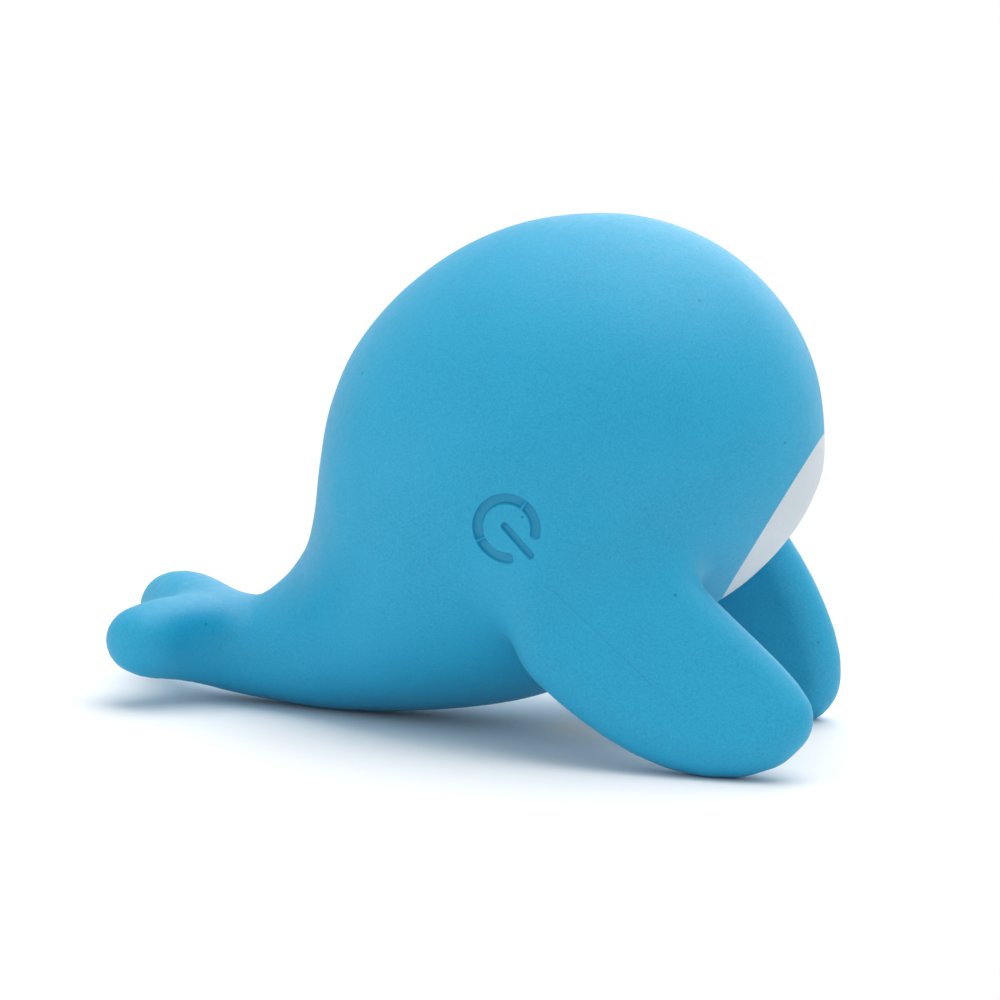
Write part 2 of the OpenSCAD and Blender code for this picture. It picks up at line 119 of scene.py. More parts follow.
# Sides of a cutter, by how wide it is
WIDE_TURNS = 96
NARROW_TURNS = 64

# Button: the pad moves, the web round it is made in sectors, and both are parts of one smooth skin
BUTTON_POINT = np.array([7.0, -29.25, 31.1])
PAD_T = 1.8
PAD_R = 5.7
WEB_R = 8.2
WEB_HOLE_START = 20.0
WEB_HOLE_PAST = 4.0
BUTTON_TURNS = 240
PAD_RINGS = 76
WEB_PARTS = 12
WEB_RINGS = 12
HEIGHT_PASSES = 12

# On and off symbol: a ring, as the start and length of its arc in degrees, with two thin gaps, and a bar, as
# its start, end and width on a line through the ring's middle
SYMBOL_AT = (0.23, -0.13)
SYMBOL_R = 3.9
SYMBOL_W = 1.25
SYMBOL_ARC = (77, 299)
SYMBOL_ROUND = 0.4
SYMBOL_GAPS = (147, 300)
SYMBOL_GAP_W = 0.32
SYMBOL_TURN = 48.5
SYMBOL_BAR = (-0.35, 4.65, 0.9)
SYMBOL_DEPTH = 0.5
SYMBOL_EDGE = 0.13

# Grid that the outer surface is found on
GRID = 0.9
GRID_LOW = np.array([-51.0, -35.5, -2.7])
GRID_HIGH = np.array([51.5, 35.5, 73.0])

# Shading: an edge past this many degrees stays sharp. A face's corner takes the skin's own direction where it
# is this near the skin, this far above the floor, and the face looks the same way by at least this cosine.
SHARP_ANGLE = 40
ON_SKIN = 0.03
OFF_FLOOR = 0.05
SAME_WAY = 0.9


def in_plane(degrees):
    """Direction in the middle plane, forward and below the horizon by an angle."""
    a = math.radians(degrees)
    return np.array([math.cos(a), 0.0, -math.sin(a)])


CHIN_AXIS = in_plane(CHIN_ANGLE)
SOUND_AXIS = in_plane(SOUND_ANGLE)
PORT_AXIS = in_plane(90 - PORT_ANGLE)
BUTTON_OUT = float(np.linalg.norm(BUTTON_POINT - CAPSULE))
BUTTON_AXIS = (BUTTON_POINT - CAPSULE) / BUTTON_OUT
PAD_FOOT = BUTTON_OUT - PAD_T


def curve(p, q, r, s, t):
    """Smooth curve from q to r, with p before them and s after them."""
    return (q + t * (r - p) / 2 + t * t * (2 * p - 5 * q + 4 * r - s) / 2
            + t ** 3 * (3 * q - p - 3 * r + s) / 2)


def section_rows():
    """The body's sections with smooth ones between them; past an end they go on upside down."""
    rows = [list(map(float, s)) for s in TAIL_AND_BACK]
    for below, above in FACE_ANGLES:
        a, b = math.radians(below), math.radians(above)
        rows.append([
            HEAD[0] + HEAD_R * math.cos(a),
            HEAD[2] - HEAD_R * math.sin(a) + CHIN_LIFT * math.sin(2 * a),
            HEAD[0] + HEAD_R * math.cos(b),
            HEAD[2] + HEAD_R * math.sin(b),
            HEAD_R * math.sin((a + b) / 2),
        ])
    rows = np.array(rows)
    over = rows[:, [2, 3, 0, 1, 4]] * [1, 1, 1, 1, -1]
    padded = np.concatenate([over[1:2], rows, over[-2:-1]])
    fine = []
    for i in range(len(rows) - 1):
        for t in np.arange(ROWS_PER_SECTION) / ROWS_PER_SECTION:
            fine.append(curve(*padded[i:i + 4], t))
    fine.append(rows[-1])
    return np.array(fine)


def body_table():
    """What the field needs of each section: its middle, upward direction, shape and size, and its plane."""
    rows = section_rows()
    middle = (rows[:, :2] + rows[:, 2:4]) / 2
    half = (rows[:, 2:4] - rows[:, :2]) / 2
    tall = np.maximum(np.hypot(half[:, 0], half[:, 1]), TINY)
    up = half / tall[:, None]
    ratio = rows[:, 4] / tall
    for end, inner in ((0, 1), (-1, -2)):
        up[end], ratio[end] = up[inner], ratio[inner]
    ahead = np.stack([up[:, 1], -up[:, 0]], 1)
    return {"data": np.column_stack([middle, up, ratio, rows[:, 4] ** 2]), "ahead": ahead,
            "offset": (middle * ahead).sum(1)}


BODY = body_table()


def smooth_row(i, f):
    """A smooth value between rows i and i + 1 of the body's table."""
    data = BODY["data"]
    last = len(data) - 1
    before, after = data[np.maximum(i - 1, 0)], data[np.minimum(i + 2, last)]
    return curve(before, data[i], data[i + 1], after, f[:, None])


def section_value(p, row):
    """A section's value at a point, below zero inside, and the point's height in the section."""
    t = (p[:, 0] - row[:, 0]) * row[:, 2] + (p[:, 2] - row[:, 1]) * row[:, 3]
    return p[:, 1] ** 2 + (row[:, 4] * t) ** 2 - row[:, 5], t


def body_distance(points, block=20000):
    """Near-distance from the body's surface, below zero inside."""
    out = np.empty(len(points))
    data = BODY["data"]
    for start in range(0, len(points), block):
        p = points[start:start + block]
        g = p[:, :1] * BODY["ahead"][:, 0] + p[:, 2:] * BODY["ahead"][:, 1] - BODY["offset"]
        passed = g >= 0
        i = len(data) - 1 - np.argmax(passed[:, ::-1], axis=1)
        i = np.clip(np.where(passed.any(1), i, 0), 0, len(data) - 2)
        n = np.arange(len(p))
        width = np.maximum(g[n, i] - g[n, i + 1], TINY)
        row = smooth_row(i, np.clip(g[n, i] / width, 0, 1))
        value, t = section_value(p, row)
        value += 2 * HEAD_R * np.maximum(g[:, -1], 0) + TAIL_END_RISE * np.maximum(-g[:, 0], 0)
        along = (section_value(p, data[i + 1])[0] - section_value(p, data[i])[0]) / width
        slope = np.sqrt(4 * p[:, 1] ** 2 + (2 * row[:, 4] ** 2 * t) ** 2 + along ** 2)
        out[start:start + block] = value / np.maximum(slope, LEAST_SLOPE)
    return out


def smooth_min(a, b, fillet):
    return np.minimum(a, b) - np.maximum(fillet - np.abs(a - b), 0) ** 2 / (4 * fillet)


def smooth_step(value, ends):
    t = np.clip((value - ends[0]) / (ends[1] - ends[0]), 0, 1)
    return t * t * (3 - 2 * t)


def round_cone(p, a, b, ra, rb):
    """Distance from the hull of two balls, or of two discs when the points are flat."""
    ba = b - a
    l2 = ba @ ba
    rr = ra - rb
    a2 = l2 - rr * rr
    if a2 <= 0:
        return np.linalg.norm(p - (a if rr > 0 else b), axis=1) - max(ra, rb)
    pa = p - a
    y = pa @ ba
    z = y - l2
    x2 = ((pa * l2 - np.outer(y, ba)) ** 2).sum(1)
    y2, z2 = y * y * l2, z * z * l2
    k = np.sign(rr) * rr * rr * x2
    side = (np.sqrt(x2 * a2 / l2) + y * rr) / l2 - ra
    near_b = np.sqrt(x2 + z2) / l2 - rb
    near_a = np.sqrt(x2 + y2) / l2 - ra
    return np.where(np.sign(z) * a2 * z2 > k, near_b, np.where(np.sign(y) * a2 * y2 < k, near_a, side))


def finer(rows):
    """More rounds on a smooth curve through the given ones; each row is a round's place and radius."""
    rows = np.asarray(rows, float)
    fit = np.polyfit(np.arange(len(rows)), rows, len(rows) - 1)
    t = np.linspace(0, len(rows) - 1, (len(rows) - 1) * ROUNDS_BETWEEN + 1)
    return np.stack([np.polyval(fit[:, k], t) for k in range(rows.shape[1])], 1)


def flipper_distance(p, rounds, side):
    """Slab with full edges and slightly crowned faces; side is 1 on the left and -1 on the right."""
    lean, toe = math.radians(FLIPPER_LEAN), math.radians(FLIPPER_TOE)
    turn = np.array(Matrix.Rotation(-side * toe, 3, "Z"))
    face = turn @ np.array([0, -math.cos(lean), -side * math.sin(lean)])
    along = turn @ np.array([1.0, 0, 0])
    across = np.cross(face, along)
    centres = np.array([c for c, _ in rounds], float)
    edge = FLIPPER_T / 2
    flat = np.stack([(p - centres[0]) @ along, (p - centres[0]) @ across], 1)
    flat_centres = np.stack([(centres - centres[0]) @ along, (centres - centres[0]) @ across], 1)
    shape = finer(np.column_stack([flat_centres, [r - edge for _, r in rounds]]))
    hulls = [round_cone(flat, a[:2], b[:2], a[2], b[2]) for a, b in zip(shape, shape[1:])]
    outline = np.min(hulls, axis=0)
    offsets = (centres - centres[0]) @ face
    bend = np.polyfit(flat_centres[:, 0], offsets, 2)
    reach = np.clip(flat[:, 0], -BEND_PAST[0], flat_centres[-1, 0] + BEND_PAST[1])
    height = np.abs((p - centres[0]) @ face - np.polyval(bend, reach))
    crown = FLIPPER_CROWN * smooth_step(-outline, (0, CROWN_RISE))
    return np.where(outline > 0, np.hypot(np.maximum(outline, 0), height), height) - edge - crown


def fluke_distance(p, rounds):
    """Flattened hull of balls."""
    squeeze = np.array([1, 1, 1 / FLUKE_THIN])
    shape = finer([(*(np.array(c) * squeeze), r) for c, r in rounds])
    hulls = [round_cone(p * squeeze, a[:3], b[:3], a[3], b[3]) for a, b in zip(shape, shape[1:])]
    return FLUKE_DAMP * np.min(hulls, axis=0)


def whale_distance(p):
    """Near-distance from the toy's outer surface, below zero inside."""
    d = body_distance(p)
    for rounds in (RIGHT_FLUKE, LEFT_FLUKE):
        d = smooth_min(d, fluke_distance(p, rounds), FLUKE_FILLET)
    from_dent = np.stack([p[:, 0], np.abs(p[:, 1]), p[:, 2]], 1) - DENT
    d = d + DENT_DEPTH * np.exp(-(from_dent ** 2).sum(1) / (2 * DENT_REACH ** 2))
    low, high, behind = FLIPPER_FILLETS
    high = high + (behind - high) * smooth_step(p[:, 0], FLIPPER_FILLET_X)
    fillet = low + (high - low) * smooth_step(p[:, 2], FLIPPER_FILLET_Z)
    for rounds, side in ((RIGHT_FLIPPER, -1), (LEFT_FLIPPER, 1)):
        d = smooth_min(d, flipper_distance(p, rounds, side), fillet)
    return d


def whale_slope(p, reach=0.08):
    """Direction in which the distance grows, with its rate."""
    out = np.empty((len(p), 3))
    for axis in range(3):
        step = np.zeros(3)
        step[axis] = reach
        out[:, axis] = (whale_distance(p + step) - whale_distance(p - step)) / (2 * reach)
    return out


def onto_surface(p, passes=3, least=0.2):
    """Points moved onto the outer surface along its slope."""
    for _ in range(passes):
        slope = whale_slope(p)
        p = p - slope * (whale_distance(p) / np.maximum((slope ** 2).sum(1), least))[:, None]
    return p


def surface_net(field, low, step):
    """Closed quad mesh where a gridded field passes zero."""
    inside = field < 0
    cells = np.array(field.shape) - 1
    count = np.zeros(cells, int)
    for corner in np.ndindex(2, 2, 2):
        count += inside[tuple(slice(c, c + n) for c, n in zip(corner, cells))]
    mixed = (count > 0) & (count < 8)
    index = np.full(cells, -1)
    index[mixed] = np.arange(mixed.sum())
    places = np.argwhere(mixed)
    total, hits = np.zeros((len(places), 3)), np.zeros(len(places))
    faces = []
    for axis in range(3):
        u, v = (axis + 1) % 3, (axis + 2) % 3
        for du, dv in np.ndindex(2, 2):
            a = places.copy()
            a[:, u] += du
            a[:, v] += dv
            b = a.copy()
            b[:, axis] += 1
            fa, fb = field[tuple(a.T)], field[tuple(b.T)]
            cross = (fa < 0) != (fb < 0)
            at = a[cross].astype(float)
            at[:, axis] += fa[cross] / (fa[cross] - fb[cross])
            total[cross] += at
            hits[cross] += 1
        here, there = [slice(1, -1)] * 3, [slice(1, -1)] * 3
        here[axis], there[axis] = slice(None, -1), slice(1, None)
        start, end = inside[tuple(here)], inside[tuple(there)]
        base = np.argwhere(start != end)
        outward = start[start != end]
        base[:, u] += 1
        base[:, v] += 1
        quad = []
        for du, dv in ((-1, -1), (0, -1), (0, 0), (-1, 0)):
            c = base.copy()
            c[:, u] += du
            c[:, v] += dv
            quad.append(index[tuple(c.T)])
        quad = np.stack(quad, 1)
        quad[~outward] = quad[~outward][:, ::-1]
        faces.append(quad)
    return low + step * total / hits[:, None], np.concatenate(faces)


def new_object(name, points, faces):
    mesh = bpy.data.meshes.new(name)
    mesh.from_pydata((np.asarray(points) * MM).tolist(), [], [list(map(int, f)) for f in faces])
    mesh.validate()
    mesh.update()
    obj = bpy.data.objects.new(name, mesh)
    bpy.context.scene.collection.objects.link(obj)
    return obj


def copy_object(obj, name):
    twin = obj.copy()
    twin.data = obj.data.copy()
    twin.name = name
    bpy.context.scene.collection.objects.link(twin)
    return twin


def combine(obj, cutter, operation):
    """Cuts obj by a closed cutter, or keeps what they share; the cutter is used up."""
    change = obj.modifiers.new("cut", "BOOLEAN")
    change.solver = "MANIFOLD"
    change.operation = operation
    change.object = cutter
    bpy.context.view_layer.update()
    made = bpy.data.meshes.new_from_object(obj.evaluated_get(bpy.context.evaluated_depsgraph_get()))
    obj.modifiers.clear()
    old, obj.data = obj.data, made
    made.name = obj.name
    bpy.data.meshes.remove(old)
    bpy.data.objects.remove(cutter)


def axes_for(axis):
    """Local X and Y of a direction, as the part's source turns them."""
    tilt, turn = math.acos(axis[2]), math.atan2(axis[1], axis[0])
    x = np.array([math.cos(tilt) * math.cos(turn), math.cos(tilt) * math.sin(turn), -math.sin(tilt)])
    return x, np.array([-math.sin(turn), math.cos(turn), 0.0])


def prism(name, origin, axis, radius, turns, start, end):
    """Closed round bar along an axis."""
    x, y = axes_for(axis)
    angle = np.arange(turns) * 2 * math.pi / turns
    flat = np.outer(np.cos(angle) * radius, x) + np.outer(np.sin(angle) * radius, y)
    points = np.concatenate([origin + flat + start * axis, origin + flat + end * axis])
    sides = [(k, (k + 1) % turns, turns + (k + 1) % turns, turns + k) for k in range(turns)]
    return new_object(name, points, sides + [range(turns - 1, -1, -1), range(turns, 2 * turns)])


def ball(name, centre, radius, rings=48, turns=96):
    points = [centre + [0, 0, -radius]]
    for i in range(1, rings):
        a = math.pi * i / rings
        for k in range(turns):
            b = 2 * math.pi * k / turns
            points.append(centre + radius * np.array(
                [math.sin(a) * math.cos(b), math.sin(a) * math.sin(b), -math.cos(a)]))
    points.append(centre + [0, 0, radius])
    top = len(points) - 1
    faces = [(0, 1 + (k + 1) % turns, 1 + k) for k in range(turns)]
    for i in range(rings - 2):
        a = 1 + i * turns
        for k in range(turns):
            n = (k + 1) % turns
            faces.append((a + k, a + n, a + turns + n, a + turns + k))
    a = 1 + (rings - 2) * turns
    faces += [(a + k, a + (k + 1) % turns, top) for k in range(turns)]
    return new_object(name, points, faces)


def soft_shading(obj):
    """Smooth shading, with the skin's true direction wherever a face is part of the outer surface."""
    mesh = obj.data
    mesh.polygons.foreach_set("use_smooth", np.ones(len(mesh.polygons), bool))
    mesh.set_sharp_from_angle(angle=math.radians(SHARP_ANGLE))
    points = np.empty(len(mesh.vertices) * 3)
    mesh.vertices.foreach_get("co", points)
    points = points.reshape(-1, 3) / MM
    slope = whale_slope(points)
    slope /= np.maximum(np.linalg.norm(slope, axis=1), TINY)[:, None]
    on_skin = (np.abs(whale_distance(points)) < ON_SKIN) & (points[:, 2] > OFF_FLOOR)
    normals = np.empty(len(mesh.polygons) * 3)
    mesh.polygons.foreach_get("normal", normals)
    normals = normals.reshape(-1, 3)
    corner = np.empty(len(mesh.loops), int)
    mesh.loops.foreach_get("vertex_index", corner)
    sizes = np.empty(len(mesh.polygons), int)
    mesh.polygons.foreach_get("loop_total", sizes)
    face = np.repeat(np.arange(len(mesh.polygons)), sizes)
    keep = on_skin[corner] & ((normals[face] * slope[corner]).sum(1) > SAME_WAY)
    custom = np.where(keep[:, None], slope[corner], 0.0)
    mesh.normals_split_custom_set(custom.tolist())


def make_outer():
    """The whole outer surface of the toy as one closed mesh."""
    axes = [np.arange(a, b, GRID) for a, b in zip(GRID_LOW, GRID_HIGH)]
    grid = np.stack(np.meshgrid(*axes, indexing="ij"), -1)
    field = whale_distance(grid.reshape(-1, 3)).reshape(grid.shape[:3])
    points, faces = surface_net(field, GRID_LOW, GRID)
    points = onto_surface(points)
    points[:, 2] = np.maximum(points[:, 2], 0.0)
    return new_object("outer", points, faces)


def button_places(flat, heights):
    """Points over the button's own plane, at these heights from the capsule's centre."""
    x, y = axes_for(BUTTON_AXIS)
    return (CAPSULE + np.outer(flat[:, 0] + SYMBOL_AT[0], x) + np.outer(flat[:, 1] + SYMBOL_AT[1], y)
            + np.outer(heights, BUTTON_AXIS))


def button_heights(flat):
    """Height of the skin over points of the button's plane."""
    height = np.full(len(flat), BUTTON_OUT)
    for _ in range(HEIGHT_PASSES):
        height -= whale_distance(button_places(flat, height))
    return height


def turn_points(radius, turns):
    """Points of a circle in the button's plane, at these turn steps."""
    angle = np.asarray(turns) * 2 * math.pi / BUTTON_TURNS
    return radius * np.stack([np.cos(angle), np.sin(angle)], 1)


def degrees_from(angle, middle):
    """Degrees between angles, from -180 to 180."""
    return (angle - middle + 180) % 360 - 180


def groove_depth(flat):
    """Depth of the on and off symbol's grooves at points of the button's plane."""
    r = np.hypot(flat[:, 0], flat[:, 1])
    angle = np.degrees(np.arctan2(flat[:, 1], flat[:, 0]))
    off = degrees_from(angle, SYMBOL_ARC[0] + SYMBOL_ARC[1] / 2)
    across = np.abs(r - SYMBOL_R) - SYMBOL_W / 2 + SYMBOL_ROUND
    past = np.radians(np.abs(off) - SYMBOL_ARC[1] / 2) * SYMBOL_R + SYMBOL_ROUND
    inside = (np.hypot(np.maximum(across, 0), np.maximum(past, 0))
              + np.minimum(np.maximum(across, past), 0) - SYMBOL_ROUND)
    for gap in SYMBOL_GAPS:
        from_gap = np.radians(np.abs(degrees_from(angle, gap))) * r
        inside = np.maximum(inside, SYMBOL_GAP_W / 2 - from_gap)
    turn = math.radians(SYMBOL_TURN)
    along = flat[:, 0] * math.cos(turn) + flat[:, 1] * math.sin(turn)
    aside = -flat[:, 0] * math.sin(turn) + flat[:, 1] * math.cos(turn)
    over = along - np.clip(along, SYMBOL_BAR[0], SYMBOL_BAR[1])
    inside = np.minimum(inside, np.hypot(over, aside) - SYMBOL_BAR[2] / 2)
    return SYMBOL_DEPTH * smooth_step(inside, (SYMBOL_EDGE, -SYMBOL_EDGE))


def ring_faces(first, second, n):
    """Quads between two rings of n points that start at these numbers."""
    return [(first + k, second + k, second + (k + 1) % n, first + (k + 1) % n) for k in range(n)]


def make_pad():
    """The part of the skin that the finger moves, with the symbol's grooves in it."""
    n = BUTTON_TURNS
    radii = np.linspace(0, PAD_R, PAD_RINGS + 1)[1:]
    flat = np.concatenate([np.zeros((1, 2))] + [turn_points(r, np.arange(n)) for r in radii])
    groove = groove_depth(flat)
    points = np.concatenate([button_places(flat, button_heights(flat) - groove),
                             button_places(flat[-n:], np.full(n, PAD_FOOT)),
                             button_places(np.zeros((1, 2)), np.array([PAD_FOOT]))])
    faces = [(0, 1 + k, 1 + (k + 1) % n) for k in range(n)]
    for i in range(PAD_RINGS - 1):
        faces += ring_faces(1 + i * n, 1 + (i + 1) * n, n)
    rim, foot = 1 + (PAD_RINGS - 1) * n, 1 + PAD_RINGS * n
    faces += ring_faces(rim, foot, n)
    faces += [(foot + k, foot + n, foot + (k + 1) % n) for k in range(n)]
    pad = new_object("power_button_skin", points, faces)
    # Share of the groove's full depth at each top point; the blue silicone paints shade into the grooves by
    # it
    share = np.zeros(len(points), np.float32)
    share[:len(flat)] = groove / SYMBOL_DEPTH
    pad.data.attributes.new("groove", "FLOAT", "POINT").data.foreach_set("value", share)
    return pad


def make_web(part):
    """Sector of the skin round the pad. Its inner edge meets the pad's edge."""
    m, rows = BUTTON_TURNS // WEB_PARTS, WEB_RINGS + 1
    turns = part * m + np.arange(m + 1)
    flat = np.concatenate([turn_points(r, turns) for r in np.linspace(PAD_R, WEB_R, rows)])
    count = len(flat)
    points = np.concatenate([button_places(flat, button_heights(flat)),
                             button_places(flat, np.full(count, PAD_FOOT))])
    at = np.arange(count).reshape(rows, m + 1)
    top = [(at[i, k], at[i + 1, k], at[i + 1, k + 1], at[i, k + 1]) for i in range(rows - 1)
           for k in range(m)]
    foot = [[c + count for c in f[::-1]] for f in top]
    rim = np.concatenate([at[:, 0], at[-1, 1:], at[-2::-1, -1], at[0, -2:0:-1]])
    sides = [(b, a, a + count, b + count) for a, b in zip(rim, np.roll(rim, -1))]
    web = new_object("button_web_%d" % (part + 1), points, top + foot + sides)
    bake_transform(web)
    return web


def build_skin():
    """All pieces of the outer surface: the chin, and the skin with the button's pad and web."""
    outer = make_outer()
    chin = copy_object(outer, "white_chin_inlay")
    outer.name = "whale_skin"
    chin_cut = prism("chin_cut", HEAD, CHIN_AXIS, CHIN_CUT_R, WIDE_TURNS, CHIN_SEAT, CHIN_CUT_END)
    combine(chin, copy_object(chin_cut, "chin_keep"), "INTERSECT")
    recess = prism("recess", HEAD, CHIN_AXIS, CHIN_RECESS_R, NARROW_TURNS, CHIN_RECESS_START, CHIN_RECESS_END)
    combine(chin, recess, "DIFFERENCE")
    button_base = button_places(np.zeros((1, 2)), np.zeros(1))[0]
    for cut in (
        chin_cut,
        ball("cavity", CAPSULE, CAVITY_R),
        prism("web_cut", button_base, BUTTON_AXIS, WEB_R, BUTTON_TURNS, WEB_HOLE_START,
              BUTTON_OUT + WEB_HOLE_PAST),
        prism("port_cut", CAPSULE, PORT_AXIS, PORT_HOLE_R, WIDE_TURNS, HOLE_START, PORT_HOLE_END),
        prism("sound_cut", CAPSULE, SOUND_AXIS, SOUND_HOLE_R, NARROW_TURNS, HOLE_START, SOUND_HOLE_END),
    ):
        combine(outer, cut, "DIFFERENCE")
    pad, webs = make_pad(), [make_web(part) for part in range(WEB_PARTS)]
    for obj in (outer, chin, pad, *webs):
        soft_shading(obj)
    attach(outer, "whale")
    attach(chin, "whale")
    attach(pad, "button")
    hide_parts("silicone_skin")
    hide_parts("white_chin")
    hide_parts("power_button")
    return chin, [outer, pad, *webs]


# Materials work in metres. Noise keeps near its middle, so this part of its values is spread over a range.
NOISE_RANGE = (0.3, 0.7)
# Noise scales per metre: clouds in the colour, grain of the surface and patches of gloss
BLUE_CLOUDS = 110
WHITE_CLOUDS = 140
PLASTIC_CLOUDS = 300
GRAIN = 3500
GLOSS = 900
GRAIN_HEIGHT = 0.00003
MARK_HEIGHT = 0.00006

# Silicones: two shades, range of roughness, and what is mixed in as a colour and its share
BLUE_SHADES = ((0, 145, 186), (2, 151, 193))
BLUE_ROUGH = (0.50, 0.60)
BLUE_GRAIN = ((30, 174, 215), 0.7)
# The groove tint is painted shade: the symbol's grooves are coloured darker the deeper they are
BLUE_GROOVE_SHADE = ((0, 133, 174), 0.6)
BLUE_MARK = ((28, 118, 160), 0.16)
BLUE_LINT = ((24, 84, 112), 0.75)
WHITE_SHADES = ((200, 209, 215), (208, 216, 222))
WHITE_ROUGH = (0.48, 0.58)
WHITE_GRAIN = ((184, 196, 203), 0.5)
WHITE_DIRT = ((96, 108, 116), 0.8)

# Parting line of the mould on each flipper: a plane, as shares of x and z and their sum, the x values that
# the line fades in and out between, how far out the flank starts, and the line's soft edge
PARTING = (0.626, 0.780, 0.02663)
PARTING_START = (0.0115, 0.0135)
PARTING_END = (0.0335, 0.0275)
FLANK_Y = (0.020, 0.022)
PARTING_EDGE = (0.00014, 0.00005)
# Gate mark: a small ring
GATE = (0.00928, -0.0286, 0.02221)
GATE_R = 0.0006
GATE_EDGE = (0.00016, 0.00006)
# Specks: width of a cell, size of a speck and share of cells that have one. Fibres are specks drawn out on a
# slant, and the dirt keeps to a narrow rim of the chin. A speck is full within this share of its size.
LINT = (0.004, 0.00026, 0.4)
FIBRES = (0.003, 0.00011, 0.35)
FIBRE_TURN = (0.5, 0.9, 0.3)
FIBRE_DRAW = (1.0, 1.0, 0.2)
DIRT = (0.0026, 0.0003, 0.6)
DIRT_RIM = 0.0012
SPECK_CORE = 0.4


def linear(r, g, b):
    """A colour written as 0 to 255 values, for a shader."""
    def one(c):
        c /= 255
        return c / 12.92 if c <= 0.04045 else ((c + 0.055) / 1.055) ** 2.4
    return (one(r), one(g), one(b), 1.0)


class Shader:
    """A node material with short ways to add nodes. A value that is a socket is linked, any other is set."""

    def __init__(self, name):
        self.material = bpy.data.materials.new(name)
        self.material.use_nodes = True
        self.tree = self.material.node_tree
        self.tree.nodes.clear()
        self.surface = self.tree.nodes.new("ShaderNodeBsdfPrincipled")
        out = self.tree.nodes.new("ShaderNodeOutputMaterial")
        self.tree.links.new(self.surface.outputs[0], out.inputs["Surface"])
        self.coords = self.tree.nodes.new("ShaderNodeTexCoord").outputs["Object"]

    def put(self, socket, value):
        if isinstance(value, bpy.types.NodeSocket):
            self.tree.links.new(value, socket)
        else:
            socket.default_value = value

    def node(self, kind, sockets=None, **settings):
        made = self.tree.nodes.new(kind)
        for key, value in settings.items():
            setattr(made, key, value)
        for key, value in (sockets or {}).items():
            self.put(made.inputs[key], value)
        return made

    def set(self, **sockets):
        for key, value in sockets.items():
            self.put(self.surface.inputs[key.replace("_", " ")], value)

    def math(self, operation, a, b=0.0):
        return self.node("ShaderNodeMath", {0: a, 1: b}, operation=operation).outputs[0]

    def noise(self, scale, detail=2.0, rough=0.5, vector=None):
        sockets = {"Vector": vector or self.coords, "Scale": scale, "Detail": detail, "Roughness": rough}
        return self.node("ShaderNodeTexNoise", sockets).outputs["Fac"]

    def between(self, value, low, high, to_low=0.0, to_high=1.0, smooth=False):
        """Value from one range onto another, held at its ends."""
        kind = "SMOOTHSTEP" if smooth else "LINEAR"
        return self.node("ShaderNodeMapRange", {"Value": value, "From Min": low, "From Max": high,
                                                "To Min": to_low, "To Max": to_high},
                         interpolation_type=kind, clamp=True).outputs["Result"]

    def spread(self, noise, to_low=0.0, to_high=1.0):
        """Noise spread over a range."""
        return self.between(noise, *NOISE_RANGE, to_low, to_high)

    def mix(self, share, a, b):
        made = self.node("ShaderNodeMix", data_type="RGBA")
        self.put(made.inputs["Factor"], share)
        colours = [s for s in made.inputs if s.type == "RGBA"]
        self.put(colours[0], a)
        self.put(colours[1], b)
        return [s for s in made.outputs if s.type == "RGBA"][0]

    def tint(self, base, amount, tint):
        """Base with some of a tint, given as a colour and its share, mixed in by an amount."""
        colour, share = tint
        return self.mix(self.math("MULTIPLY", amount, share), base, linear(*colour))

    def clouds(self, scale, shades):
        dark, light = shades
        return self.mix(self.spread(self.noise(scale, 3)), linear(*dark), linear(*light))

    def bump(self, height, distance, strength=1.0, normal=None):
        sockets = {"Height": height, "Distance": distance, "Strength": strength}
        if normal is not None:
            sockets["Normal"] = normal
        return self.node("ShaderNodeBump", sockets).outputs["Normal"]

    def parts(self):
        return self.node("ShaderNodeSeparateXYZ", {0: self.coords}).outputs

    def specks(self, cell, size, share, vector=None):
        """Sparse specks: one in a share of cells of this width, all in metres."""
        sockets = {"Vector": vector or self.coords, "Scale": 1 / cell, "Randomness": 1.0}
        spots = self.node("ShaderNodeTexVoronoi", sockets)
        near = self.between(spots.outputs["Distance"], size / cell, SPECK_CORE * size / cell)
        red = self.node("ShaderNodeSeparateColor", {0: spots.outputs["Color"]}).outputs[0]
        return self.math("MULTIPLY", near, self.math("LESS_THAN", red, share))


def mould_marks(s):
    """Parting line on the flippers and the ring of the gate mark."""
    x, y, z = s.parts()
    along = s.math("ADD", s.math("MULTIPLY", x, PARTING[0]), s.math("MULTIPLY", z, PARTING[1]))
    off = s.math("ABSOLUTE", s.math("SUBTRACT", along, PARTING[2]))
    line = s.between(off, *PARTING_EDGE, smooth=True)
    reach = s.math("MULTIPLY", s.between(x, *PARTING_START), s.between(x, *PARTING_END))
    flank = s.between(s.math("ABSOLUTE", y), *FLANK_Y)
    line = s.math("MULTIPLY", s.math("MULTIPLY", line, reach), flank)
    away = s.node("ShaderNodeVectorMath", {0: s.coords, 1: GATE}, operation="DISTANCE").outputs["Value"]
    off_ring = s.math("ABSOLUTE", s.math("SUBTRACT", away, GATE_R))
    return s.math("MAXIMUM", line, s.between(off_ring, *GATE_EDGE, smooth=True))


def lint_and_fibres(s):
    sockets = {"Vector": s.coords, "Rotation": FIBRE_TURN, "Scale": FIBRE_DRAW}
    drawn = s.node("ShaderNodeMapping", sockets).outputs[0]
    return s.math("MAXIMUM", s.specks(*LINT), s.specks(*FIBRES, drawn))


def grained(s, base, grain, tint):
    """Base with the colour of the grain's high places mixed in."""
    colour, share = tint
    return s.mix(s.spread(grain, 0.0, share), base, linear(*colour))


